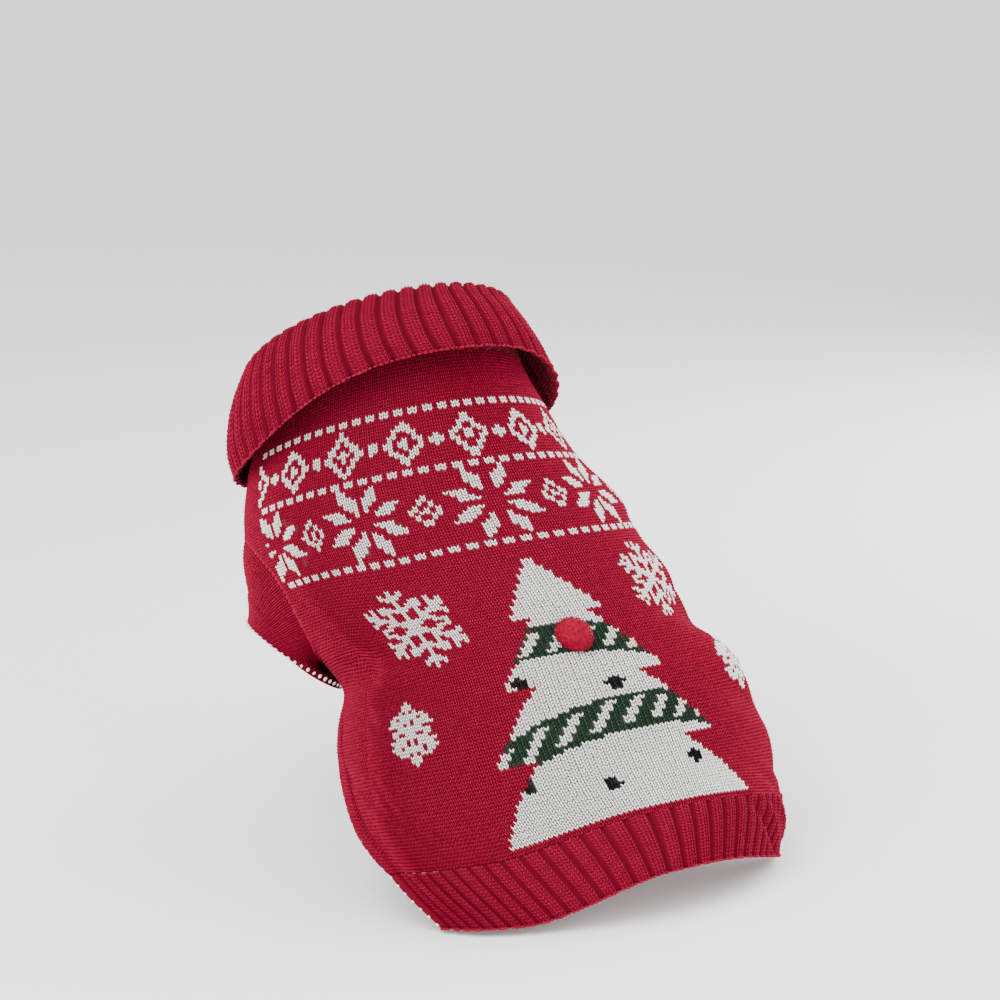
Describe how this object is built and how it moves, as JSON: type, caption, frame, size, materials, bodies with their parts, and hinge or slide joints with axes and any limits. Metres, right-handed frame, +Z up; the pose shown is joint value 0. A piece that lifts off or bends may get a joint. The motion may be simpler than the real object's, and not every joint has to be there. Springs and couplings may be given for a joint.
{
  "type": "dog sweater",
  "caption": "Knitted roll-neck dog sweater in its hollow worn form, with cap sleeves, an open belly end, a ribbed hem and a pompom.",
  "frame": {"origin": "centre of the neck opening, where the wearer's neck holds the sweater up", "axes": "+Z up, +Y the way the seated wearer faces, +X to the wearer's right; the back slopes down towards -Y"},
  "size_m": [0.2876, 0.4023, 0.3349],
  "materials": {
    "red_knit": "plain knitted wool blend, soft nap",
    "red_rib": "2 x 2 ribbed knit, soft nap",
    "red_felt": "felted wool, short fuzz"
  },
  "bodies": {
    "root": {"back_panel": "red_knit", "belly_panel": "red_knit", "collar": "red_rib", "hem_rib": "red_rib", "sleeve_left": "red_knit", "sleeve_right": "red_knit", "pompom": "red_felt"}
  },
  "joints": []
}
